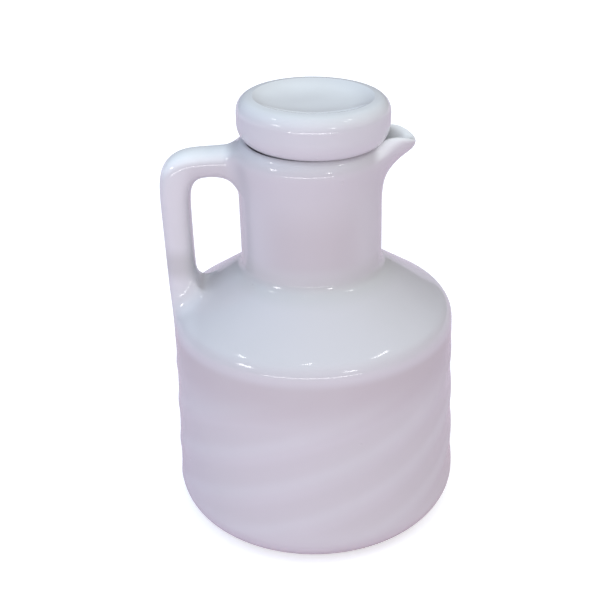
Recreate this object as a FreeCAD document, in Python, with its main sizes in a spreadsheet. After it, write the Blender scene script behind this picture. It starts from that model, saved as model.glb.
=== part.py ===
import FreeCAD, Part
import Sketcher
import os
from math import atan, cos, exp, pi, radians, sin, sqrt

# A porcelain vinegar cruet with a loose stopper, in millimetres, standing on z = 0.
# The handle lies towards -X and the pouring lip towards +X.
# Two pieces of porcelain: the vessel, cast with its handle and lip in one, and the stopper.

doc = FreeCAD.newDocument("vinegar_cruet")

SIZES = [
    # Foot, wall and shoulder
    ("body_radius", 42.9),
    ("shoulder_radius", 40.85),
    ("shoulder_height", 64.3),
    ("shoulder_slope", 34),
    ("corner_round", 9.3),
    ("turn_round", 6.1),
    ("foot_width", 2.6),
    ("foot_recess", 1.8),
    ("foot_slope", 0.9),
    ("wall", 3.2),
    ("floor", 3.8),
    ("inner_corner_bevel", 4.5),
    # Neck, mouth and pouring lip
    ("neck_radius", 20.15),
    ("neck_root_round", 3.7),
    ("lip_start", 97),
    ("mouth_start", 101),
    ("rim_height", 114.3),
    ("rim_flare", 0.95),
    ("rim_round", 0.8),
    ("lip_wall", 2),
    ("lip_reach", 29.3),
    ("lip_rise", 2.4),
    ("lip_rise_start", 17),
    ("lip_rise_top", 24),
    ("lip_tip_drop", 1.9),
    ("lip_spread_angle", 19.5),
    ("lip_flank_power", 2.3),
    # Handle
    ("handle_reach", 42.15),
    ("handle_drop", 1.5),
    ("handle_thick", 8.2),
    ("handle_width", 10.8),
    ("handle_round", 3.6),
    ("handle_bend", 6.6),
    ("handle_end", 50),
    ("handle_bite", 2.7),
    ("handle_root_round", 4),
    ("foot_flare", 5),
    ("foot_flare_height", 10),
    ("flare_tuck", 0.3),
    # Stopper
    ("head_radius", 21.1),
    ("head_height", 12.8),
    ("head_top_round", 4),
    ("head_under_round", 5.6),
    ("dish_radius", 16.4),
    ("dish_slope", 9),
    ("dish_depth", 2.2),
    ("dish_round", 12),
    ("dish_edge_round", 3),
    ("stopper_wall", 3),
    ("cavity_bevel", 2.2),
    ("plug_length", 15),
    ("plug_taper", 0.7),
    ("plug_bevel", 1),
    ("plug_clearance", 1.7),
    ("stopper_shift", 1.15),
    ("stopper_tilt", 1.4),
    ("seat_gap", 0.15),
]

DERIVED = [
    ("slope_rise", "tan(shoulder_slope)"),
    ("foot_radius", "body_radius - corner_round"),
    ("neck_corner", "shoulder_height + (shoulder_radius - neck_radius) * slope_rise"),
    ("bore_radius", "neck_radius - wall"),
    ("inner_shoulder", "shoulder_height - wall * (1 - sin(shoulder_slope)) / cos(shoulder_slope)"),
    ("inner_neck_corner", "neck_corner + wall * slope_rise - wall / cos(shoulder_slope)"),
    ("plug_radius", "bore_radius - plug_clearance"),
    ("plug_end", "plug_radius - plug_taper"),
    ("plug_bore", "plug_radius - stopper_wall"),
    ("cavity_radius", "head_radius - stopper_wall"),
    ("cavity_top", "head_height - stopper_wall - cavity_bevel / 2"),
    ("dish_floor", "head_height - dish_depth"),
]

sizes = doc.addObject("Spreadsheet::Sheet", "Sizes")
CELLS = [(alias, str(value)) for alias, value in SIZES] + [(alias, "=" + text) for alias, text in DERIVED]
for row, (alias, content) in enumerate(CELLS, start=1):
    sizes.set("A%d" % row, alias)
    sizes.set("B%d" % row, content)
    sizes.setAlias("B%d" % row, alias)
doc.recompute()


def size(alias):
    return float(sizes.get(alias))


def origin_plane(body, role):
    for plane in body.Origin.OriginFeatures:
        if plane.Role == role:
            return plane


def outline(body, name, corners):
    # A closed half outline beside the axis: straight lines from corner to corner, each corner
    # held at its distances from the axis and the ground, and rounded where it names a radius.
    sketch = body.newObject("Sketcher::SketchObject", name)
    sketch.AttachmentSupport = (origin_plane(body, "XZ_Plane"), [""])
    sketch.MapMode = "FlatFace"
    places = []
    for across, up, radius in corners:
        x = float(sketch.evalExpression(across))
        y = float(sketch.evalExpression(up))
        places.append(FreeCAD.Vector(x, y, 0))
    count = len(places)
    for i in range(count):
        sketch.addGeometry(Part.LineSegment(places[i], places[(i + 1) % count]))
    for i in range(count):
        sketch.addConstraint(Sketcher.Constraint("Coincident", i, 2, (i + 1) % count, 1))
    for i in range(count):
        across, up, radius = corners[i]
        hold(sketch, i, "DistanceX", -2, across, places[i].x)
        hold(sketch, i, "DistanceY", -1, up, places[i].y)
    for i in range(count):
        if corners[i][2]:
            sketch.fillet(i, 1, size(corners[i][2]), True, True)
            arc = sketch.GeometryCount - 2
            number = sketch.addConstraint(Sketcher.Constraint("Radius", arc, size(corners[i][2])))
            sketch.setExpression("Constraints[%d]" % number, "Sizes." + corners[i][2])
    return sketch


def hold(sketch, line, kind, axis, text, start):
    # Tie the start of a line to an axis: on it where the text is 0, and else at that distance.
    if text == "0":
        sketch.addConstraint(Sketcher.Constraint("PointOnObject", line, 1, axis))
        return
    number = sketch.addConstraint(Sketcher.Constraint(kind, -1, 1, line, 1, start))
    sketch.setExpression("Constraints[%d]" % number, text)


def turned(name, corners):
    # A body of revolution about the vertical axis.
    body = doc.addObject("PartDesign::Body", name)
    sketch = outline(body, name + "_outline", corners)
    revolution = body.newObject("PartDesign::Revolution", name + "_turned")
    revolution.Profile = sketch
    revolution.ReferenceAxis = (sketch, ["V_Axis"])
    revolution.Angle = 360
    doc.recompute()
    return body


# Outside of the vessel: foot ring, wall that widens downwards, conical shoulder and neck.
outside = turned("Outside", [
    ("0", "Sizes.foot_recess", ""),
    ("Sizes.foot_radius - Sizes.foot_width - Sizes.foot_slope", "Sizes.foot_recess", ""),
    ("Sizes.foot_radius - Sizes.foot_width", "0", ""),
    ("Sizes.body_radius", "0", "corner_round"),
    ("Sizes.shoulder_radius", "Sizes.shoulder_height", "turn_round"),
    ("Sizes.neck_radius", "Sizes.neck_corner", "neck_root_round"),
    ("Sizes.neck_radius", "Sizes.lip_start", ""),
    ("0", "Sizes.lip_start", ""),
])

# Hollow of the vessel, one wall inside that outline, up to where the mouth begins to widen.
hollow = turned("Hollow", [
    ("0", "Sizes.floor", ""),
    ("Sizes.body_radius - Sizes.wall - Sizes.inner_corner_bevel", "Sizes.floor", ""),
    ("Sizes.body_radius - Sizes.wall", "Sizes.floor + Sizes.inner_corner_bevel", ""),
    ("Sizes.shoulder_radius - Sizes.wall", "Sizes.inner_shoulder", ""),
    ("Sizes.bore_radius", "Sizes.inner_neck_corner", ""),
    ("Sizes.bore_radius", "Sizes.mouth_start", ""),
    ("0", "Sizes.mouth_start", ""),
])


def closed_curve(name, points):
    curve = Part.BSplineCurve()
    curve.interpolate(Points=points, PeriodicFlag=True)
    section = doc.addObject("Part::Feature", name)
    section.Shape = Part.Wire([curve.toShape()])
    return section


def lofted(name, sections):
    loft = doc.addObject("Part::Loft", name)
    loft.Sections = sections
    loft.Solid = True
    loft.Ruled = False
    return loft


# How the neck swells into the lip. Each level says how far up from the lip's start to the rim
# it lies, its share of the rim's flare, and its share of the way from the neck to the lip's tip.
# Above the widest level the rim rounds inwards over its crest.
OUTSIDE_LEVELS = [
    (0, 0, 0),
    (0.2, 0.03, 0.014),
    (0.38, 0.16, 0.08),
    (0.54, 0.47, 0.2),
    (0.67, 0.84, 0.43),
    (0.79, 1, 0.7),
    (0.9, 0.5, 0.93),
    (1, -1.2, 1),
    (1.17, -3.2, 0.9),
]
INSIDE_LEVELS = [
    (0, 0, 0),
    (0.22, 0, 0.06),
    (0.44, 0, 0.23),
    (0.64, 0, 0.49),
    (0.82, 0, 0.75),
    (1, 0, 0.93),
    (1.22, 0, 0.99),
]
LIP_POINTS = 18
LIP_CROWDING = 0.7


def lip_level(name, height, plain, tip):
    # One level across the neck: round, with a bulge towards the tip. It has most points there.
    points = []
    for i in range(LIP_POINTS):
        turn = 2 * pi * i / LIP_POINTS
        angle = turn - LIP_CROWDING * sin(turn)
        off_tip = min(angle, 2 * pi - angle)
        spread = off_tip / radians(size("lip_spread_angle"))
        bulge = exp(-(spread ** size("lip_flank_power")))
        across = plain + (tip - plain) * bulge
        points.append(FreeCAD.Vector(across * cos(angle), across * sin(angle), height))
    return closed_curve(name, points)


def lip(name, levels, bottom, radius, reach):
    # The first level is the plain round neck, so that the lip grows out of it without a step.
    first = doc.addObject("Part::Feature", name + "_0")
    first.Shape = Part.Wire([Part.makeCircle(radius, FreeCAD.Vector(0, 0, bottom))])
    sections = [first]
    for number, (up, flare, pull) in enumerate(levels[1:], start=1):
        height = bottom + up * (size("rim_height") - bottom)
        plain = radius + flare * size("rim_flare")
        tip = radius + pull * (reach - radius)
        sections.append(lip_level("%s_%d" % (name, number), height, plain, tip))
    return lofted(name, sections)


lip_outside = lip(
    "Lip_outside",
    OUTSIDE_LEVELS,
    size("lip_start"),
    size("neck_radius"),
    size("lip_reach"),
)
lip_inside = lip(
    "Lip_inside",
    INSIDE_LEVELS,
    size("mouth_start"),
    size("bore_radius"),
    size("lip_reach") - size("lip_wall"),
)

# What is cut away above the rim: it is level round the neck, rises to the lip's shoulders and
# comes down to its tip.
rim = size("rim_height")
reach = 2 * size("body_radius")
rise_start = FreeCAD.Vector(size("lip_rise_start"), 0, rim)
rise_top = FreeCAD.Vector(size("lip_rise_top"), 0, rim + size("lip_rise"))
rise_tip = FreeCAD.Vector(size("lip_reach"), 0, rise_top.z - size("lip_tip_drop"))
crest = Part.BSplineCurve()
level = FreeCAD.Vector(1, 0, 0)
falling = FreeCAD.Vector(1, 0, -1)
crest.interpolate(
    Points=[rise_start, (rise_start + rise_top) / 2, rise_top, rise_tip],
    Tangents=[level, rise_top - rise_start, level, falling],
    TangentFlags=[True, False, True, False],
)
over = size("head_height")
crest_corners = [
    rise_tip,
    FreeCAD.Vector(reach, 0, rise_tip.z),
    FreeCAD.Vector(reach, 0, rise_top.z + over),
    FreeCAD.Vector(-reach, 0, rise_top.z + over),
    FreeCAD.Vector(-reach, 0, rim),
    rise_start,
]
crest_lines = [Part.makeLine(*pair) for pair in zip(crest_corners, crest_corners[1:])]
crest_outline = doc.addObject("Part::Feature", "Crest_outline")
crest_outline.Shape = Part.Face(Part.Wire([crest.toShape()] + crest_lines))
above_crest = doc.addObject("Part::Extrusion", "Above_crest")
above_crest.Base = crest_outline
above_crest.Dir = FreeCAD.Vector(0, 1, 0)
above_crest.LengthFwd = 2 * reach
above_crest.Symmetric = True
above_crest.Solid = True


def oblong(name, centre, thickness_way, thick, wide, corner):
    # A cross-section of the handle: a rectangle with round corners, broad side along Y.
    across = thickness_way * (thick / 2 - corner)
    along = FreeCAD.Vector(0, wide / 2 - corner, 0)
    corners = [across + along, along - across, -across - along, across - along]
    edges = []
    for quarter, corner_centre in enumerate(corners):
        arc = []
        for turn in (0, pi / 4, pi / 2):
            turn = turn + quarter * pi / 2
            round_way = thickness_way * cos(turn) + FreeCAD.Vector(0, sin(turn), 0)
            arc.append(centre + corner_centre + round_way * corner)
        if edges:
            edges.append(Part.makeLine(edges[-1].lastVertex().Point, arc[0]))
        edges.append(Part.Arc(arc[0], arc[1], arc[2]).toShape())
    edges.append(Part.makeLine(edges[-1].lastVertex().Point, edges[0].firstVertex().Point))
    section = doc.addObject("Part::Feature", name)
    section.Shape = Part.Wire(edges)
    return section


# Handle: a bar that leaves the neck below the rim, turns down through a tight bend and sinks
# into the wall under the shoulder, where its outer side is flush with the wall.
half_thick = size("handle_thick") / 2
arm_height = size("rim_height") - size("handle_drop") - half_thick
leg = size("handle_reach") - half_thick
bend = size("handle_bend")
taper = (size("body_radius") - size("shoulder_radius")) / size("shoulder_height")
leg_end = size("body_radius") - taper * size("handle_end") - half_thick
arm_start = FreeCAD.Vector(-size("neck_radius") + size("handle_bite"), 0, arm_height)
hub = FreeCAD.Vector(bend - leg, 0, arm_height - bend)
lean = atan((leg - leg_end) / (hub.z - size("handle_end")))
bend_start = hub + FreeCAD.Vector(0, 0, bend)
bend_middle = hub + FreeCAD.Vector(-bend * sin(pi / 4), 0, bend * cos(pi / 4))
bend_end = hub + FreeCAD.Vector(-bend * cos(lean), 0, -bend * sin(lean))
leg_way = FreeCAD.Vector(sin(lean), 0, -cos(lean))
foot = bend_end + leg_way * ((bend_end.z - size("handle_end")) / cos(lean))

handle_path = doc.addObject("Part::Feature", "Handle_path")
handle_path.Shape = Part.Wire([
    Part.makeLine(arm_start, bend_start),
    Part.Arc(bend_start, bend_middle, bend_end).toShape(),
    Part.makeLine(bend_end, foot),
])
handle_section = oblong(
    "Handle_section",
    arm_start,
    FreeCAD.Vector(0, 0, 1),
    size("handle_thick"),
    size("handle_width"),
    size("handle_round"),
)
handle = doc.addObject("Part::Sweep", "Handle")
handle.Sections = [handle_section]
handle.Spine = (handle_path, ["Edge1", "Edge2", "Edge3"])
handle.Solid = True
doc.recompute()

# The leg flares where it stands on the shoulder.
shoulder_at_leg = size("neck_corner") - (leg - half_thick - size("neck_radius")) * size("slope_rise")
FLARE_STEPS = 3
flare_sections = []
for step in range(FLARE_STEPS + 1):
    share = step / FLARE_STEPS
    flare = size("foot_flare") * share ** 2
    height = shoulder_at_leg + size("foot_flare_height") * (1 - share) - share * size("wall")
    centre = bend_end + leg_way * ((bend_end.z - height) / cos(lean))
    centre = centre + FreeCAD.Vector(flare / 2, 0, 0)
    flare_sections.append(oblong(
        "Flare_%d" % step,
        centre,
        FreeCAD.Vector(1, 0, 0),
        size("handle_thick") + flare - 2 * size("flare_tuck"),
        size("handle_width") + flare - 2 * size("flare_tuck"),
        size("handle_round") + flare / 3,
    ))
handle_flare = lofted("Handle_flare", flare_sections)


# How far from the rim's plane its edges may lie.
NEAR = 0.01


def within(shape, low, high):
    # Names of the edges that lie wholly inside a box.
    box = FreeCAD.BoundBox(*low, *high)
    return [i for i, edge in enumerate(shape.Edges, start=1) if box.isInside(edge.BoundBox)]


def rounded(name, base, numbers, radius):
    fillet = doc.addObject("Part::Fillet", name)
    fillet.Base = base
    fillet.Edges = [(number, radius, radius) for number in numbers]
    doc.recompute()
    return fillet


# The vessel is all of this in one casting: the outside joined, the arm's root rounded into the
# neck, the crest of the rim cut and rounded, and the hollow taken out.
vessel_outside = doc.addObject("Part::MultiFuse", "Vessel_outside")
vessel_outside.Shapes = [outside, lip_outside, handle, handle_flare]
doc.recompute()

root_low = (
    -size("neck_radius") - size("rim_flare"),
    -size("handle_width"),
    arm_height - size("handle_thick"),
)
root_high = (0, size("handle_width"), arm_height + size("handle_thick"))
root_edges = within(vessel_outside.Shape, root_low, root_high)
rooted = rounded("Rooted", vessel_outside, root_edges, size("handle_root_round"))

crested = doc.addObject("Part::Cut", "Crested")
crested.Base = rooted
crested.Tool = above_crest
doc.recompute()

rim_low = (-reach, -reach, rim - NEAR)
rim_high = (reach, reach, rim + size("lip_rise") + NEAR)
rim_edges = [
    number
    for number in within(crested.Shape, rim_low, rim_high)
    if crested.Shape.Edges[number - 1].BoundBox.XLength > NEAR
]
rimmed = rounded("Rimmed", crested, rim_edges, size("rim_round"))

vessel_hollow = doc.addObject("Part::MultiFuse", "Vessel_hollow")
vessel_hollow.Shapes = [hollow, lip_inside]
cruet_body = doc.addObject("Part::Cut", "Cruet_body")
cruet_body.Base = rimmed
cruet_body.Tool = vessel_hollow
cruet_body.Label = "cruet_body"
doc.recompute()

# Stopper: a thick round head with a dished top and rounded edges, and a tapered plug, cast
# hollow with an even wall and open below. Its own z = 0 is the flat underside of the head.
stopper = turned("Stopper", [
    ("0", "Sizes.dish_floor", ""),
    ("Sizes.dish_radius - Sizes.dish_slope", "Sizes.dish_floor", "dish_round"),
    ("Sizes.dish_radius", "Sizes.head_height", "dish_edge_round"),
    ("Sizes.head_radius", "Sizes.head_height", "head_top_round"),
    ("Sizes.head_radius", "0", "head_under_round"),
    ("Sizes.plug_radius", "0", ""),
    ("Sizes.plug_end", "Sizes.plug_bevel - Sizes.plug_length", ""),
    ("Sizes.plug_end - Sizes.plug_bevel", "-Sizes.plug_length", ""),
    ("Sizes.plug_end - Sizes.stopper_wall", "-Sizes.plug_length", ""),
    ("Sizes.plug_bore", "Sizes.stopper_wall", ""),
    ("Sizes.cavity_radius - Sizes.cavity_bevel", "Sizes.stopper_wall", ""),
    ("Sizes.cavity_radius", "Sizes.stopper_wall + Sizes.cavity_bevel", ""),
    ("Sizes.cavity_radius", "Sizes.cavity_top", ""),
    ("Sizes.dish_radius - Sizes.dish_slope", "Sizes.dish_floor - Sizes.stopper_wall", ""),
    ("0", "Sizes.dish_floor - Sizes.stopper_wall", ""),
])
stopper.Label = "stopper"


def seat_height():
    # The stopper lies a little towards the pouring lip and dips that way. Round the rim, clear
    # of the lip, find how high the round under its head must stand to touch the rim's inner edge.
    under = size("head_under_round")
    flat = size("head_radius") - under
    dip = sin(radians(size("stopper_tilt")))
    highest = 0
    first = int(2 * size("lip_spread_angle"))
    for degree in range(first, 181):
        along = cos(radians(degree))
        apart = max(0, size("bore_radius") - flat - size("stopper_shift") * along)
        rise = sqrt(under ** 2 - apart ** 2) + flat * dip * along
        highest = max(highest, rise)
    return size("rim_height") - under + highest + size("seat_gap")


stopper.Placement = FreeCAD.Placement(
    FreeCAD.Vector(size("stopper_shift"), 0, seat_height()),
    FreeCAD.Rotation(FreeCAD.Vector(0, 1, 0), size("stopper_tilt")),
)
doc.recompute()

for item in doc.Objects:
    if "Invalid" in item.State or "Error" in item.State:
        raise RuntimeError("%s did not compute: %s" % (item.Label, item.State))

os.makedirs("parts", exist_ok=True)
for node in (cruet_body, stopper):
    if node.Shape.isNull() or not node.Shape.isValid() or len(node.Shape.Solids) != 1:
        raise RuntimeError("%s is not one sound solid" % node.Label)
    node.Shape.exportStep("parts/%s.step" % node.Label)
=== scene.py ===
from math import asin, atan2, cos, degrees, exp, pi, radians, sin, tan
import bmesh
import bpy
from mathutils import Matrix, Vector


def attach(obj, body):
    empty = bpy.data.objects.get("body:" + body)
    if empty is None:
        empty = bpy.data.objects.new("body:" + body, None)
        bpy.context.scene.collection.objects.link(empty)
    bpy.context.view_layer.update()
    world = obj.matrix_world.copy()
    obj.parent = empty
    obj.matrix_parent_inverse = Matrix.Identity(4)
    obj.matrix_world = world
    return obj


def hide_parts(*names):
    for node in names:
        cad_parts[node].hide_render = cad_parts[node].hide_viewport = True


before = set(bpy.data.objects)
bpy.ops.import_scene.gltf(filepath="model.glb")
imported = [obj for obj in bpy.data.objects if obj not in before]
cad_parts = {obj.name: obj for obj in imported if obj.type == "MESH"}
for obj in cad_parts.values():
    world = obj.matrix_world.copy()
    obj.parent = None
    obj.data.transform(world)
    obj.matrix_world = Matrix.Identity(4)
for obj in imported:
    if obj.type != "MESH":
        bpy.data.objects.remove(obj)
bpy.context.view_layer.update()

# The vessel is one casting of hard porcelain: foot ring, wall, sloping shoulder, neck, pulled
# pouring lip and handle. The cast leaves the mould with its swirls, the handle is stuck on with
# slip while both are soft, and the glaze runs over the joints and rounds them.
MM = 0.001
COLUMNS = 48
HANDLE_SPAN = 3
HANDLE_HALF_SPREAD = 8.0
FOOT_RADIUS = 42.9
WALL_TAPER = 2.05
TURN_RADIUS = 40.85
TURN_HEIGHT = 64.3
NECK_RADIUS = 20.15
NECK_FOOT_HEIGHT = 78.26
WALL_ROWS = 12
WALL_ROW_SPACING = 4.0
LOWEST_WALL_ROW = 13.5

# Corners of the half outline, in millimetres: distance from the axis, height, the radius that
# rounds the corner off, and the steps round it.
FOOT = [
    (9.0, 1.8, 0, 0), (18.0, 1.8, 0, 0), (25.5, 1.8, 0, 0), (29.4, 1.75, 0, 0), (30.6, 0.85, 0, 0),
    (31.3, 0.1, 0, 0), (32.6, 0.04, 0, 0), (FOOT_RADIUS, 0.04, 9.3, 6),
]
WALL = []
for row in range(WALL_ROWS):
    row_height = LOWEST_WALL_ROW + WALL_ROW_SPACING * row
    WALL.append((FOOT_RADIUS - WALL_TAPER * row_height / TURN_HEIGHT, row_height, 0, 0))
SHOULDER = [
    (TURN_RADIUS, TURN_HEIGHT, 6.1, 3), (35.3, 68.04, 0, 0), (31.6, 70.54, 0, 0), (27.2, 73.5, 0, 0),
    (23.8, 75.8, 0, 0), (NECK_RADIUS, NECK_FOOT_HEIGHT, 3.7, 3), (NECK_RADIUS, 83.2, 0, 0),
    (NECK_RADIUS, 87.2, 0, 0), (NECK_RADIUS, 91.4, 0, 0), (NECK_RADIUS, 95.6, 0, 0),
]
# Rows of the neck that the lip is pulled from: distance from the axis, height, reach of the
# lip's tip, its half spread in degrees, and how far the row shares in the lip's raised sides.
LIP = [
    (20.15, 98.6, 20.2, 19.5, 0.0),
    (20.2, 101.6, 20.5, 19.5, 0.0),
    (20.35, 104.9, 21.4, 19.5, 0.0),
    (20.75, 107.9, 23.4, 19.5, 0.05),
    (21.05, 110.4, 26.05, 19.5, 0.2),
    (20.9, 112.1, 28.3, 19.5, 0.45),
    (20.25, 113.5, 29.2, 19.2, 0.75),
    (19.25, 114.55, 29.1, 18.8, 0.95),
    (18.15, 115.0, 28.2, 18.2, 1.0),
    (17.25, 114.7, 26.7, 17.2, 1.0),
    (16.95, 113.7, 25.3, 16.6, 0.8),
    (16.95, 111.5, 23.3, 16.4, 0.4),
    (16.95, 108.7, 20.9, 16.4, 0.1),
    (16.95, 104.5, 18.3, 16.8, 0.0),
    (16.95, 99.0, 16.95, 17.5, 0.0),
]
INSIDE = [
    (16.95, 93.0, 0, 0), (16.95, 86.0, 0, 0), (16.95, 76.8, 4.0, 2), (30.0, 68.0, 0, 0),
    (37.65, 62.6, 4.0, 2), (38.2, 50.0, 0, 0), (38.7, 38.0, 0, 0), (39.0, 26.0, 0, 0),
    (39.4, 15.5, 0, 0), (39.7, 3.8, 7.0, 3), (24.0, 3.8, 0, 0), (16.0, 3.8, 0, 0), (8.0, 3.8, 0, 0),
]


def half_outline(corners):
    line = []
    for place, (across, up, rounding, steps) in enumerate(corners):
        here = Vector((across, up, 0))
        if not rounding:
            line.append(here)
            continue
        before = (Vector((*corners[place - 1][:2], 0)) - here).normalized()
        after = (Vector((*corners[place + 1][:2], 0)) - here).normalized()
        half = before.angle(after) / 2
        middle = here + (before + after).normalized() * (rounding / sin(half))
        first = (here + before * (rounding / tan(half)) - middle).normalized()
        last = (here + after * (rounding / tan(half)) - middle).normalized()
        for step in range(steps + 1):
            line.append(middle + first.slerp(last, step / steps) * rounding)
    return line


def turned_cage(name, line):
    # One ring of points for each point of the half outline, extruded from the ring before it.
    # Both ends are closed by a fan. Returns the object and the rings, each from the handle round.
    bpy.ops.object.select_all(action="DESELECT")
    bpy.ops.mesh.primitive_circle_add(
        vertices=COLUMNS, radius=line[0].x * MM, fill_type="TRIFAN", location=(0, 0, line[0].y * MM))
    piece = bpy.context.object
    piece.name = name
    piece.data.name = name
    bpy.ops.object.transform_apply(location=True, rotation=True, scale=True)
    bpy.ops.object.mode_set(mode="EDIT")
    bpy.ops.mesh.select_mode(type="EDGE")
    bpy.ops.mesh.select_all(action="DESELECT")
    for edge in bmesh.from_edit_mesh(piece.data).edges:
        edge.select_set(edge.is_boundary)
    rings = []
    for place, point in enumerate(line):
        if place:
            rise = (point.y - line[place - 1].y) * MM
            bpy.ops.mesh.extrude_edges_move(TRANSFORM_OT_translate={"value": (0, 0, rise)})
            widening = point.x / line[place - 1].x
            bpy.ops.transform.resize(
                value=(widening, widening, 1), center_override=(0, 0, point.y * MM))
        cage = bmesh.from_edit_mesh(piece.data)
        ring = [vert for vert in cage.verts if vert.select]
        ring.sort(key=lambda vert: round(atan2(-vert.co.y, -vert.co.x), 5) % (2 * pi))
        rings.append([vert.index for vert in ring])
    bpy.ops.mesh.edge_face_add()
    bpy.ops.mesh.poke()
    bpy.ops.object.mode_set(mode="OBJECT")
    return piece, rings


def settle(targets, rounds=3):
    # The cage is rounded off when it is subdivided, so it stands off the real surface by as
    # much: targets[row][column] are the points that the rounded surface passes through.
    cage = [[point.copy() for point in row] for row in targets]
    for _ in range(rounds):
        along = []
        for row in range(len(cage)):
            before, after = cage[max(row - 1, 0)], cage[min(row + 1, len(cage) - 1)]
            along.append([(a + 4 * b + c) / 6 for a, b, c in zip(before, cage[row], after)])
        for row in range(1, len(cage) - 1):
            for column in range(COLUMNS):
                left, right = along[row][column - 1], along[row][(column + 1) % COLUMNS]
                rounded_off = (left + 4 * along[row][column] + right) / 6
                cage[row][column] += targets[row][column] - rounded_off
    return cage


def column_angle(column, across, crowding):
    # Columns are numbered from the handle, at 180 degrees. Those the handle takes are as wide
    # apart at every height, and the rest share what is left, crowded towards the lip.
    off = column if column <= COLUMNS // 2 else column - COLUMNS
    taken = asin(HANDLE_HALF_SPREAD / max(across, NECK_RADIUS))
    if abs(off) <= HANDLE_SPAN:
        turn = taken * off / HANDLE_SPAN
    else:
        share = (abs(off) - HANDLE_SPAN) / (COLUMNS // 2 - HANDLE_SPAN)
        share += crowding * sin(pi * share) / pi
        turn = taken + (pi - taken) * share
        turn = turn if off > 0 else -turn
    return pi + turn


LIP_CROWDING = 0.38
LIP_FLANK_POWER = 2.3
SIDE_RISE = 2.05
SIDE_RISE_OFF = 13.6
SIDE_RISE_SPREAD = 7.5
TIP_RISE = 0.2
TIP_RISE_SPREAD = 5.0
RIM_LEAN = 0.024
RIM_LEAN_REACH = 15


def lip_shape(across, up, reach, spread, lift, angle):
    # The rim is pulled out to the tip and stands up on both sides of it, and all of it dips
    # towards the lip as the stopper on it does.
    off = abs(degrees(atan2(sin(angle), cos(angle))))
    out = across + (reach - across) * exp(-((off / spread) ** LIP_FLANK_POWER))
    sides = SIDE_RISE * exp(-(((off - SIDE_RISE_OFF) / SIDE_RISE_SPREAD) ** 2))
    rise = sides + TIP_RISE * exp(-((off / TIP_RISE_SPREAD) ** 2))
    lean = -RIM_LEAN * min(RIM_LEAN_REACH, out * cos(angle))
    return Vector((out * cos(angle), out * sin(angle), up + lift * (rise + lean))) * MM


outside_line = half_outline(FOOT + WALL + SHOULDER + [(LIP[0][0], LIP[0][1], 0, 0)])[:-1]
inside_line = half_outline([(LIP[-1][0], LIP[-1][1], 0, 0)] + INSIDE)[1:]
lip_line = [Vector((across, up, 0)) for across, up, _, _, _ in LIP]
vessel_line = outside_line + lip_line + inside_line
vessel, vessel_rings = turned_cage("porcelain_vessel", vessel_line)

CROWDING_FROM = 78
CROWDING_OVER = 16
CROWDING_REACH = 24
targets = []
for place, point in enumerate(vessel_line):
    crowding = LIP_CROWDING * min(1, max(0, (point.y - CROWDING_FROM) / CROWDING_OVER))
    crowding = crowding if point.x < CROWDING_REACH else 0
    row = []
    for column in range(COLUMNS):
        angle = column_angle(column, point.x, crowding)
        in_lip = place - len(outside_line)
        if 0 <= in_lip < len(LIP):
            row.append(lip_shape(*LIP[in_lip], angle))
        else:
            row.append(Vector((point.x * cos(angle), point.x * sin(angle), point.y)) * MM)
    targets.append(row)
cage_rows = settle(targets)

for ring, row in zip(vessel_rings, cage_rows):
    for index, target in zip(ring, row):
        vessel.data.vertices[index].co = target
vessel.data.update()

# The handle is a bar bent over, given by pairs of points on its outer and inner side, each with
# its place along the lip's direction and its height.
HANDLE = [
    ((-22.3, 113.35), (-21.5, 103.6)),
    ((-24.5, 113.15), (-24.0, 105.0)),
    ((-27.8, 112.9), (-27.3, 105.35)),
    ((-31.1, 112.75), (-29.9, 105.1)),
    ((-34.4, 112.45), (-31.2, 104.5)),
    ((-37.3, 111.45), (-32.2, 103.45)),
    ((-39.7, 109.7), (-33.0, 102.0)),
    ((-41.35, 107.1), (-33.5, 100.2)),
    ((-42.05, 103.6), (-33.75, 98.2)),
    ((-42.2, 99.0), (-33.85, 95.6)),
    ((-42.1, 93.0), (-33.85, 92.0)),
    ((-42.0, 87.0), (-33.85, 87.5)),
    ((-41.9, 81.0), (-33.8, 82.4)),
    ((-41.8, 75.6), (-33.75, 78.4)),
    ((-41.7, 70.4), (-33.55, 74.4)),
]
HANDLE_HALF_WIDTH = 5.45
HANDLE_SQUARENESS = 2.9
HANDLE_THICK_STEPS = 5


def handle_ring(outer, inner):
    # Points round the bar: along the top side, down, back along the under side and up again.
    middle = (Vector((outer[0], 0, outer[1])) + Vector((inner[0], 0, inner[1]))) / 2
    half = (Vector((outer[0], 0, outer[1])) - Vector((inner[0], 0, inner[1]))) / 2
    around = [(i / HANDLE_SPAN, 1) for i in range(-HANDLE_SPAN, HANDLE_SPAN)]
    around += [(1, 1 - 2 * j / HANDLE_THICK_STEPS) for j in range(HANDLE_THICK_STEPS)]
    around += [(i / HANDLE_SPAN, -1) for i in range(HANDLE_SPAN, -HANDLE_SPAN, -1)]
    around += [(-1, 2 * j / HANDLE_THICK_STEPS - 1) for j in range(HANDLE_THICK_STEPS)]
    power = HANDLE_SQUARENESS
    ring = []
    for wide, thick in around:
        size = (abs(wide) ** power + abs(thick) ** power) ** (-1 / power)
        sideways = Vector((0, HANDLE_HALF_WIDTH * wide * size, 0))
        ring.append((middle + half * (thick * size) + sideways) * MM)
    return ring


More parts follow.
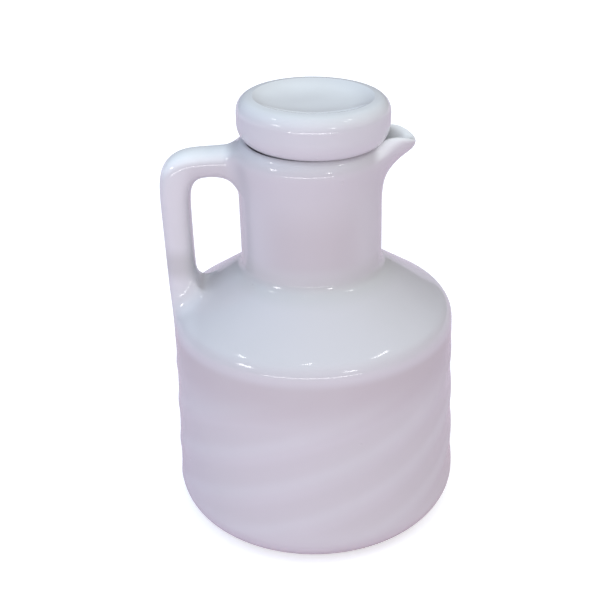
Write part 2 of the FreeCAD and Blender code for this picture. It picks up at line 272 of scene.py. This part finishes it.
bpy.ops.object.select_all(action="DESELECT")
handle_rings = [handle_ring(outer, inner) for outer, inner in HANDLE]
bpy.ops.mesh.primitive_circle_add(vertices=len(handle_rings[0]), radius=5 * MM)
handle = bpy.context.object
handle.name = "handle"
for vert, place in zip(handle.data.vertices, handle_rings[0]):
    vert.co = place
bpy.ops.object.mode_set(mode="EDIT")
bpy.ops.mesh.select_all(action="SELECT")
for before, after in zip(handle_rings, handle_rings[1:]):
    bpy.ops.mesh.extrude_edges_move(TRANSFORM_OT_translate={"value": (0, 0, 0)})
    bar = bmesh.from_edit_mesh(handle.data)
    for vert in [vert for vert in bar.verts if vert.select]:
        nearest = min(range(len(before)), key=lambda i: (before[i] - vert.co).length)
        vert.co = after[nearest]
bpy.ops.object.mode_set(mode="OBJECT")

# Where its two ends sit, the vessel's faces are cut out, and each end is bridged to its hole.
LOWER_SEAT = Vector((40.9, 61.2, 0))
BETWEEN_ENDS = 90
lower_seat_row = min(
    range(len(outside_line)), key=lambda i: (outside_line[i] - LOWER_SEAT).length)
upper_seat_row = len(outside_line) + 1
seats = []
for first_row in (upper_seat_row, lower_seat_row):
    seat_rings = vessel_rings[first_row:first_row + HANDLE_THICK_STEPS + 1]
    seats.append({
        ring[column] for ring in seat_rings for column in range(-HANDLE_SPAN, HANDLE_SPAN + 1)
    })
bpy.ops.object.select_all(action="DESELECT")
vessel.select_set(True)
bpy.context.view_layer.objects.active = vessel
bpy.ops.object.mode_set(mode="EDIT")
bpy.ops.mesh.select_mode(type="FACE")
bpy.ops.mesh.select_all(action="DESELECT")
for face in bmesh.from_edit_mesh(vessel.data).faces:
    corners = {vert.index for vert in face.verts}
    if any(corners <= seat for seat in seats):
        face.select_set(True)
bpy.ops.mesh.delete(type="FACE")
bpy.ops.object.mode_set(mode="OBJECT")
handle.select_set(True)
bpy.ops.object.join()
vessel = bpy.context.object
for upper_end in (True, False):
    bpy.ops.object.mode_set(mode="EDIT")
    bpy.ops.mesh.select_mode(type="EDGE")
    bpy.ops.mesh.select_all(action="DESELECT")
    cage = bmesh.from_edit_mesh(vessel.data)
    for edge in cage.edges:
        edge_height = (edge.verts[0].co.z + edge.verts[1].co.z) / 2
        if edge.is_boundary and (edge_height > BETWEEN_ENDS * MM) == upper_end:
            edge.select_set(True)
    bmesh.update_edit_mesh(vessel.data)
    bpy.ops.mesh.bridge_edge_loops()
    bpy.ops.object.mode_set(mode="OBJECT")

bpy.ops.object.mode_set(mode="EDIT")
bpy.ops.mesh.select_all(action="SELECT")
bpy.ops.mesh.normals_make_consistent(inside=False)
bpy.ops.object.mode_set(mode="OBJECT")
rounding = vessel.modifiers.new("rounding", "SUBSURF")
rounding.levels = rounding.render_levels = 2
bpy.ops.object.modifier_apply(modifier="rounding")

# Seven shallow swirls wind up round the wall, narrow at their ridges and wide in between. They
# fade out towards the bottom corner and below the turn of the shoulder.
SWIRLS = 7
SWIRL_SPACING = 13.7
SWIRL_DEPTH = 0.3
SWIRL_FRONT = 15.6
RIDGE_SHARPNESS = 2.4
SWIRL_FADES_IN = (4, 14)
SWIRL_FADES_OUT = (49.5, 58.5)
INSIDE_REACH = 40.2


def eased(value, first, last):
    share = min(1, max(0, (value - first) / (last - first)))
    return share * share * (3 - 2 * share)


swirl = vessel.vertex_groups.new(name="swirl")
for vert in vessel.data.vertices:
    x, y, z = vert.co / MM
    if (x * x + y * y) ** 0.5 < INSIDE_REACH:
        continue
    turn = degrees(atan2(y, x)) + 90
    phase = (z - SWIRL_FRONT) / SWIRL_SPACING - turn * SWIRLS / 360
    valley = 1 - (0.5 + 0.5 * cos(2 * pi * phase)) ** RIDGE_SHARPNESS
    fade = eased(z, *SWIRL_FADES_IN) * (1 - eased(z, *SWIRL_FADES_OUT))
    if fade > 0:
        swirl.add([vert.index], valley * fade, "REPLACE")
press = vessel.modifiers.new("press", "DISPLACE")
press.vertex_group = "swirl"
press.strength = -SWIRL_DEPTH * MM
press.mid_level = 0
bpy.ops.object.modifier_apply(modifier="press")
bpy.ops.object.shade_smooth()

# Porcelain: a dense body under a wavy glaze with few pinholes and specks and cloudy patches of a
# greyer tone, wiped off where a piece stands in the kiln. Painted light whitens the handle, the lip
# and the dish. Painted shade greys the neck's root and darkens the swirls' valleys, the wall under
# the turn and the low front of the neck.
VESSEL_WARE = (0.68, 0.66, 0.69, 1)
VESSEL_STANDS_AT = 0.0004
glaze = bpy.data.node_groups.new("fired_glaze", "ShaderNodeTree")
for name, kind, value in (
    ("Ware", "NodeSocketColor", VESSEL_WARE),
    # Painted light: a whiter colour laid on the handle, the lip and the dish.
    ("Painted light", "NodeSocketColor", (0.95, 0.96, 0.98, 1)),
    # Painted shade at the neck's root, also the tone of the cloudy patches.
    ("Root shade and clouds", "NodeSocketColor", (0.63, 0.62, 0.63, 1)),
    # Painted shade: a darker colour under the turn, low on the neck's front and in the swirls' valleys.
    ("Painted shade", "NodeSocketColor", (0.57, 0.52, 0.54, 1)),
    ("Bare", "NodeSocketColor", (0.64, 0.61, 0.58, 1)),
    ("Standing height", "NodeSocketFloat", VESSEL_STANDS_AT),
    ("Gloss", "NodeSocketFloat", 0.07),
):
    glaze.interface.new_socket(name, in_out="INPUT", socket_type=kind).default_value = value
for name, kind in (
    ("Color", "NodeSocketColor"), ("Roughness", "NodeSocketFloat"), ("Normal", "NodeSocketVector"),
):
    glaze.interface.new_socket(name, in_out="OUTPUT", socket_type=kind)

# Where the colour changes, painted light and shade included, in metres: each pair is where a change begins
# and where it is complete.
# A REACH is along the lip's direction, NECK_FRONT is away from the camera, DISH_EDGE is a distance
# from the axis, and the others are heights. A SHARE is how much of the change shows.
# Painted light is laid on the handle's arm and leg, the inside of the lip and the stopper's dish.
ARM_REACH, ARM_ROOT = (-0.024, -0.0205), (0.09, 0.108)
LEG_REACH, LEG_ROOT, LEG_LIGHT_SHARE = (-0.036, -0.031), (0.059, 0.069), 0.3
LIP_REACH, LIP_ROOT, LIP_TOP = (0.0165, 0.0195), (0.101, 0.105), (0.1168, 0.1182)
DISH_HEIGHT, DISH_EDGE, DISH_LIGHT_SHARES = (0.1235, 0.1245), (0.012, 0.0175), (0.75, 0.3)
# Painted shade in the crevice at the neck's root.
ROOT_SHADE_BOTTOM, ROOT_SHADE_TOP = (0.0735, 0.0785), (0.0805, 0.0865)
# Painted shade under the turn of the shoulder, low on the neck's front and in the swirls' valleys.
TURN_BOTTOM, TURN_TOP, TURN_SHADE_SHARE = (0.040, 0.0575), (0.0585, 0.0615), 0.75
NECK_BOTTOM, NECK_TOP, NECK_SHADE_SHARE = (0.080, 0.085), (0.092, 0.109), 0.6
NECK_FRONT = (-0.0195, -0.013)
VALLEY_BOTTOM, VALLEY_TOP, VALLEY_SHADE_SHARE = (0.006, 0.014), (0.050, 0.058), 0.24
BARE_RIM = (0.0, 0.00025)
# From the swirls' valleys, at -1, to their ridges, at 1.
RIDGE_EDGES = (-0.9, 0.9)
# How far a face looks up, as the height of its normal, for the painted light on the handle's arm and the
# lip to show.
TOP_FACING = (0.0, 0.5)
# Marks are one in a share of the cells, and their radius is in cells.
SPECK_CELLS, SPECK_RADIUS, SPECK_SHARE = 150, 0.07, 0.055
PINHOLE_CELLS, PINHOLE_RADIUS, PINHOLE_SHARE = 240, 0.13, 0.05
SPECK_TONE = (0.4, 0.37, 0.36, 1)
# Patches per metre of each kind of unevenness, and the depth of those that are felt.
CLOUDS, UNEVENNESS, WAVES, PEEL, GRIT = 28, 120, 60, 520, 3500
WAVE_DEPTH, PEEL_DEPTH, PINHOLE_DEPTH, GRIT_DEPTH = 0.00018, 0.000006, 0.00006, 0.00008
CLOUD_POOLS, CLOUD_SPECKS = (0.42, 0.72), (0.3, 0.6)
BARE_ROUGHNESS, ROUGHNESS_SPREAD = 0.75, 0.05


def node(kind, **settings):
    made = glaze.nodes.new(kind)
    for key, value in settings.items():
        if key.startswith("in_"):
            made.inputs[int(key[3:])].default_value = value
        else:
            setattr(made, key, value)
    return made


def wire(source, output, target, socket):
    glaze.links.new(source.outputs[output], target.inputs[socket])
    return target


def banded(source, output, edges, before=0.0, beyond=1.0):
    ramp = node("ShaderNodeMapRange", interpolation_type="SMOOTHSTEP")
    for socket, value in enumerate((*edges, before, beyond), 1):
        ramp.inputs[socket].default_value = value
    return wire(source, output, ramp, 0)


def joined(operation, first, second):
    result = node("ShaderNodeMath", operation=operation)
    wire(first, 0, result, 0)
    return wire(second, 0, result, 1)


def times(first, second):
    return joined("MULTIPLY", first, second)


def larger(first, second):
    return joined("MAXIMUM", first, second)


def blended(share, under, under_out, over, over_out):
    mix = node("ShaderNodeMix", data_type="RGBA")
    wire(share, 0, mix, 0)
    wire(under, under_out, mix, 6)
    return wire(over, over_out, mix, 7)


def noise(scale, detail=2.0):
    made = wire(object_space, "Object", node("ShaderNodeTexNoise"), "Vector")
    made.inputs["Scale"].default_value = scale
    made.inputs["Detail"].default_value = detail
    return made


def scattered(scale, radius, share):
    # Small round marks, one in a few of the cells that fill the glaze.
    cells = wire(object_space, "Object", node("ShaderNodeTexVoronoi", feature="F1"), "Vector")
    cells.inputs["Scale"].default_value = scale
    near = banded(cells, "Distance", (radius * 0.6, radius), 1.0, 0.0)
    pick = wire(cells, "Color", node("ShaderNodeSeparateColor"), 0)
    return times(near, banded(pick, 0, (1 - share - 0.005, 1 - share)))


def bumped(relief, depth, under=None, invert=False):
    bump = node("ShaderNodeBump", invert=invert)
    bump.inputs["Strength"].default_value = 1
    bump.inputs["Distance"].default_value = depth
    if under:
        wire(under, 0, bump, "Normal")
    return wire(relief, 0, bump, "Height")


given = node("NodeGroupInput")
object_space = node("ShaderNodeTexCoord")
place = wire(object_space, "Object", node("ShaderNodeSeparateXYZ"), 0)
facing = wire(node("ShaderNodeNewGeometry"), "Normal", node("ShaderNodeSeparateXYZ"), 0)
level = node("ShaderNodeVectorMath", operation="MULTIPLY", in_1=(1, 1, 0))
wire(object_space, "Object", level, 0)
radius = wire(level, 0, node("ShaderNodeVectorMath", operation="LENGTH"), 0)
cloud = noise(CLOUDS, 3)

arm = times(banded(place, 0, ARM_REACH, 1.0, 0.0), banded(place, 2, ARM_ROOT))
leg = times(banded(place, 0, LEG_REACH, LEG_LIGHT_SHARE, 0.0), banded(place, 2, LEG_ROOT))
spout = times(banded(place, 0, LIP_REACH), banded(place, 2, LIP_ROOT))
spout = times(spout, banded(place, 2, LIP_TOP, 1.0, 0.0))
dish = times(banded(place, 2, DISH_HEIGHT), banded(radius, "Value", DISH_EDGE, *DISH_LIGHT_SHARES))
# Painted light: the handle's arm and the lip where they face up, the dish and the handle's leg get a
# whiter colour.
painted_light = larger(times(banded(facing, 2, TOP_FACING), larger(arm, spout)), larger(dish, leg))

# Painted shade: darker under the turn of the shoulder, low on the neck's front and in the swirls' valleys.
shade_under_turn = times(banded(place, 2, TURN_BOTTOM), banded(place, 2, TURN_TOP, TURN_SHADE_SHARE, 0.0))
neck_low_shade = times(banded(place, 2, NECK_BOTTOM), banded(place, 2, NECK_TOP, NECK_SHADE_SHARE, 0.0))
neck_low_shade = times(neck_low_shade, banded(place, 1, NECK_FRONT, 1.0, 0.0))
turn_angle = node("ShaderNodeMath", operation="ARCTAN2")
wire(place, 1, turn_angle, 0)
wire(place, 0, turn_angle, 1)
turned = node("ShaderNodeMath", operation="MULTIPLY_ADD")
turned.inputs[1].default_value = -SWIRLS / (2 * pi)
turned.inputs[2].default_value = -SWIRLS / 4 - SWIRL_FRONT / SWIRL_SPACING
wire(turn_angle, 0, turned, 0)
phase = node("ShaderNodeMath", operation="MULTIPLY_ADD", in_1=1 / (SWIRL_SPACING * MM))
wire(place, 2, phase, 0)
wire(turned, 0, phase, 2)
swing = wire(phase, 0, node("ShaderNodeMath", operation="MULTIPLY", in_1=2 * pi), 0)
ridge = wire(swing, 0, node("ShaderNodeMath", operation="COSINE"), 0)
valley = banded(ridge, 0, RIDGE_EDGES, VALLEY_SHADE_SHARE, 0.0)
swirled = times(banded(place, 2, VALLEY_BOTTOM), banded(place, 2, VALLEY_TOP, 1.0, 0.0))
painted_shade = larger(larger(shade_under_turn, neck_low_shade), times(valley, swirled))

# Painted shade greys the neck's root, and cloudy patches of a greyer tone lie at random.
root_shade = times(banded(place, 2, ROOT_SHADE_BOTTOM), banded(place, 2, ROOT_SHADE_TOP, 1.0, 0.0))
root_shade_and_clouds = larger(root_shade, banded(cloud, 0, CLOUD_POOLS, 0.0, 0.3))
specks = scattered(SPECK_CELLS, SPECK_RADIUS, SPECK_SHARE)
specks = times(specks, banded(cloud, 0, CLOUD_SPECKS, 0.25, 0.6))
stand = node("ShaderNodeMath", operation="SUBTRACT")
wire(place, 2, stand, 0)
wire(given, "Standing height", stand, 1)
bare = banded(stand, 0, BARE_RIM, 1.0, 0.0)
speck_tone = node("ShaderNodeRGB")
speck_tone.outputs[0].default_value = SPECK_TONE
# The colour is the ware's colour, then painted light, painted shade, the neck root's painted shade with
# cloudy tone, specks and the bare foot.
coloured = blended(painted_light, given, "Ware", given, "Painted light")
coloured = blended(painted_shade, coloured, 2, given, "Painted shade")
coloured = blended(root_shade_and_clouds, coloured, 2, given, "Root shade and clouds")
coloured = blended(specks, coloured, 2, speck_tone, 0)
coloured = blended(bare, coloured, 2, given, "Bare")

roughness = node("ShaderNodeMath", operation="MULTIPLY_ADD", in_1=ROUGHNESS_SPREAD)
wire(noise(UNEVENNESS), 0, roughness, 0)
wire(given, "Gloss", roughness, 2)
rough = node("ShaderNodeMix", data_type="FLOAT", in_3=BARE_ROUGHNESS)
wire(bare, 0, rough, 0)
wire(roughness, 0, rough, 2)

pinholes = scattered(PINHOLE_CELLS, PINHOLE_RADIUS, PINHOLE_SHARE)
waved = bumped(noise(WAVES, 1), WAVE_DEPTH)
peeled = bumped(noise(PEEL), PEEL_DEPTH, waved)
pitted = bumped(pinholes, PINHOLE_DEPTH, peeled, invert=True)
gritty = bumped(noise(GRIT), GRIT_DEPTH, pitted)
wire(bare, 0, gritty, "Strength")

handed_out = node("NodeGroupOutput")
wire(coloured, 2, handed_out, "Color")
wire(rough, 0, handed_out, "Roughness")
wire(gritty, 0, handed_out, "Normal")


def porcelain(name, ware, standing_height):
    material = bpy.data.materials.new(name)
    material.use_nodes = True
    tree = material.node_tree
    shader = tree.nodes["Principled BSDF"]
    shader.inputs["IOR"].default_value = 1.52
    surface = tree.nodes.new("ShaderNodeGroup")
    surface.node_tree = glaze
    surface.inputs["Ware"].default_value = ware
    surface.inputs["Standing height"].default_value = standing_height
    tree.links.new(surface.outputs["Color"], shader.inputs["Base Color"])
    tree.links.new(surface.outputs["Roughness"], shader.inputs["Roughness"])
    tree.links.new(surface.outputs["Normal"], shader.inputs["Normal"])
    return material


vessel.data.materials.clear()
vessel.data.materials.append(porcelain("vessel_glaze", VESSEL_WARE, VESSEL_STANDS_AT))
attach(vessel, "root")
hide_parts("cruet_body")

# The stopper is a second casting of the same porcelain: a thick round head with a wide shallow
# dish in its top, and a tapered plug, hollow and open below so that it fires evenly. It lies
# loose on the rim, a little towards the lip, and dips that way.

# Corners as for the vessel: from the middle of the dish outwards, down, and up again inside.
STOPPER = [
    (3.0, 10.8, 0, 0), (6.0, 10.87, 0, 0), (9.0, 11.07, 0, 0), (12.0, 11.45, 0, 0), (14.6, 12.02, 0, 0),
    (16.4, 12.58, 0, 0), (21.1, 12.85, 4.0, 4), (21.1, 7.2, 0, 0), (21.1, 0.0, 5.6, 4),
    (15.45, -0.35, 0, 0), (15.2, -1.4, 0, 0), (15.0, -5.5, 0, 0), (14.8, -10.0, 0, 0), (14.6, -13.8, 0, 0),
    (14.2, -14.8, 0, 0), (13.2, -15.0, 0, 0), (12.1, -14.8, 0, 0), (11.8, -13.8, 0, 0), (11.9, -8.0, 0, 0),
    (12.1, -2.0, 0, 0), (12.3, 2.0, 0, 0), (14.0, 3.1, 0, 0), (16.9, 3.6, 0, 0), (17.9, 5.2, 0, 0),
    (17.6, 8.2, 0, 0), (14.5, 8.6, 0, 0), (10.0, 7.9, 0, 0), (5.0, 7.6, 0, 0),
]
SEAT = Vector((1.15, 0, 114.71))
STOPPER_TILT = 1.4
STOPPER_WARE = (0.72, 0.72, 0.75, 1)
STOPPER_STANDS_AT = 0.1004
stopper_line = half_outline(STOPPER)
stopper, stopper_rings = turned_cage("porcelain_stopper", stopper_line)
turns = [2 * pi * column / COLUMNS for column in range(COLUMNS)]
stopper_rows = settle([
    [Vector((-point.x * cos(turn), -point.x * sin(turn), point.y)) * MM for turn in turns]
    for point in stopper_line
])
for ring, row in zip(stopper_rings, stopper_rows):
    for index, target in zip(ring, row):
        stopper.data.vertices[index].co = target
stopper.data.update()
bpy.ops.object.mode_set(mode="EDIT")
bpy.ops.mesh.select_all(action="SELECT")
bpy.ops.mesh.normals_make_consistent(inside=False)
bpy.ops.transform.rotate(
    value=radians(-STOPPER_TILT), orient_axis="Y", center_override=(0, 0, 0))
bpy.ops.transform.translate(value=SEAT * MM)
bpy.ops.object.mode_set(mode="OBJECT")
rounding = stopper.modifiers.new("rounding", "SUBSURF")
rounding.levels = rounding.render_levels = 2
bpy.ops.object.modifier_apply(modifier="rounding")
bpy.ops.object.shade_smooth()
stopper.data.materials.clear()
stopper.data.materials.append(porcelain("stopper_glaze", STOPPER_WARE, STOPPER_STANDS_AT))
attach(stopper, "root")
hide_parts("stopper")

# The white table that the cruet stands on. It takes the object's shadow, throws a pinkish light
# back on it, and shows white to the camera.
TABLE_SIZE = 6
TABLE_DROP = 0.0002
TABLE_GLOW = 0.5
THROWN_TONE = (0.84, 0.665, 0.76, 1)
SEEN_TONE = (0.82, 0.83, 0.85, 1)
bpy.ops.object.select_all(action="DESELECT")
bpy.ops.mesh.primitive_plane_add(size=TABLE_SIZE, location=(0, 0, -TABLE_DROP))
floor = bpy.context.object
floor.name = "floor"
table = bpy.data.materials.new("white_table")
table.use_nodes = True
tree = table.node_tree
table_top = tree.nodes["Principled BSDF"]
table_top.inputs["Roughness"].default_value = 0.9
table_top.inputs["Specular IOR Level"].default_value = 0.2
table_top.inputs["Emission Color"].default_value = (1, 1, 1, 1)
path = tree.nodes.new("ShaderNodeLightPath")
glow = tree.nodes.new("ShaderNodeMath")
glow.operation = "MULTIPLY"
glow.inputs[1].default_value = TABLE_GLOW
tone = tree.nodes.new("ShaderNodeMix")
tone.data_type = "RGBA"
tone.inputs[6].default_value = THROWN_TONE
tone.inputs[7].default_value = SEEN_TONE
tree.links.new(path.outputs["Is Camera Ray"], tone.inputs[0])
tree.links.new(tone.outputs[2], table_top.inputs["Base Color"])
tree.links.new(path.outputs["Is Camera Ray"], glow.inputs[0])
tree.links.new(glow.outputs[0], table_top.inputs["Emission Strength"])
floor.data.materials.append(table)

# Light from all round: bright and cool from above, dim near the table's level, bluish from the
# left, slightly yellow from the right and weaker from behind. The camera sees plain white.

# Tones by the height of a direction, and tints by its place from left to right.
ROOM_TONES = (
    (0.0, (0.28, 0.235, 0.255)), (0.3, (0.36, 0.32, 0.355)),
    (0.65, (1.1, 1.17, 1.21)), (1.0, (1.4, 1.54, 1.6)),
)
SIDE_TINTS = ((0.0, (0.67, 0.95, 1.26)), (0.5, (1.0, 0.98, 0.98)), (1.0, (0.98, 1.0, 0.91)))
FRONT_STRENGTH, BACK_STRENGTH, BACK_SHARE = 0.82, 0.62, 0.8
world = bpy.context.scene.world or bpy.data.worlds.new("room")
bpy.context.scene.world = world
world.use_nodes = True
tree = world.node_tree
room = tree.nodes["Background"]
outlet = tree.nodes["World Output"]
direction = tree.nodes.new("ShaderNodeTexCoord")
parts = tree.nodes.new("ShaderNodeSeparateXYZ")
tree.links.new(direction.outputs["Generated"], parts.inputs[0])
tone_ramp = tree.nodes.new("ShaderNodeValToRGB")
tint_ramp = tree.nodes.new("ShaderNodeValToRGB")
for ramp, stops in ((tone_ramp, ROOM_TONES), (tint_ramp, SIDE_TINTS)):
    for share, _ in stops[1:-1]:
        ramp.color_ramp.elements.new(share)
    for element, (share, colour) in zip(ramp.color_ramp.elements, stops):
        element.position = share
        element.color = (*colour, 1)
sideways = tree.nodes.new("ShaderNodeMapRange")
sideways.inputs["From Min"].default_value = -1
tinted = tree.nodes.new("ShaderNodeMix")
tinted.data_type = "RGBA"
tinted.blend_type = "MULTIPLY"
tinted.inputs[0].default_value = 1
tree.links.new(parts.outputs["Z"], tone_ramp.inputs[0])
tree.links.new(parts.outputs["X"], sideways.inputs["Value"])
tree.links.new(sideways.outputs[0], tint_ramp.inputs[0])
tree.links.new(tone_ramp.outputs["Color"], tinted.inputs[6])
tree.links.new(tint_ramp.outputs["Color"], tinted.inputs[7])
tree.links.new(tinted.outputs[2], room.inputs["Color"])
behind = tree.nodes.new("ShaderNodeMapRange")
for socket, value in enumerate((0, BACK_SHARE, FRONT_STRENGTH, BACK_STRENGTH), 1):
    behind.inputs[socket].default_value = value
tree.links.new(parts.outputs["Y"], behind.inputs["Value"])
tree.links.new(behind.outputs[0], room.inputs["Strength"])
backdrop = tree.nodes.new("ShaderNodeBackground")
backdrop.inputs["Color"].default_value = (1, 1, 1, 1)
path = tree.nodes.new("ShaderNodeLightPath")
either = tree.nodes.new("ShaderNodeMixShader")
tree.links.new(path.outputs["Is Camera Ray"], either.inputs[0])
tree.links.new(room.outputs[0], either.inputs[1])
tree.links.new(backdrop.outputs[0], either.inputs[2])
tree.links.new(either.outputs[0], outlet.inputs[0])

# Lamps for the glaze to mirror: azimuth from the camera's side, elevation, distance, width,
# height and watts. The first is a low wide strip in front, the others are small windows.
LAMPS = [
    ("front_strip", -2, -2.5, 0.33, 0.46, 0.015, 0.215),
    ("left_window", -56, 22, 1.4, 0.28, 0.15, 1.45),
    ("right_window", 28, 21, 1.4, 0.2, 0.09, 0.72),
    ("left_ceiling", -86, 53, 1.4, 0.16, 0.07, 0.4),
    ("right_ceiling", 80, 55, 1.4, 0.36, 0.06, 0.7),
    ("front_ceiling", -8, 73, 1.4, 0.1, 0.04, 0.25),
]
LAMP_TARGET = Vector((0, 0, 0.09))
for name, azimuth, elevation, distance, wide, tall, watts in LAMPS:
    away = Vector((
        sin(radians(azimuth)) * cos(radians(elevation)),
        -cos(radians(azimuth)) * cos(radians(elevation)),
        sin(radians(elevation)),
    ))
    bpy.ops.object.light_add(type="AREA", location=LAMP_TARGET + away * distance)
    lamp = bpy.context.object
    lamp.name = name
    lamp.rotation_euler = away.to_track_quat("Z", "Y").to_euler()
    lamp.data.shape = "RECTANGLE"
    lamp.data.size = wide
    lamp.data.size_y = tall
    lamp.data.energy = watts
    lamp.visible_camera = False

# The camera looks down on the front from close by, rolled a little as the photograph is.
CAMERA_PLACE = Vector((0, -0.29034, 0.21579))
CAMERA_AIM = Vector((0, 0, 0.06422))
CAMERA_ROLL = -1.27
LENS, LENS_SHIFT = 66.4, (-0.0212, 0.0041)
camera_data = bpy.data.cameras.new("camera")
camera = bpy.data.objects.new("camera", camera_data)
bpy.context.collection.objects.link(camera)
bpy.context.scene.camera = camera
roll = radians(CAMERA_ROLL)
look = (CAMERA_AIM - CAMERA_PLACE).normalized()
right = look.cross(Vector((0, 0, 1))).normalized()
above = right.cross(look)
across = right * cos(roll) + above * sin(roll)
upward = above * cos(roll) - right * sin(roll)
camera.matrix_world = Matrix((
    (across.x, upward.x, -look.x, CAMERA_PLACE.x),
    (across.y, upward.y, -look.y, CAMERA_PLACE.y),
    (across.z, upward.z, -look.z, CAMERA_PLACE.z),
    (0, 0, 0, 1),
))
camera_data.sensor_width = 36
camera_data.lens = LENS
camera_data.shift_x, camera_data.shift_y = LENS_SHIFT
camera_data.clip_start = 0.01

scene = bpy.context.scene
scene.view_settings.view_transform = "Standard"
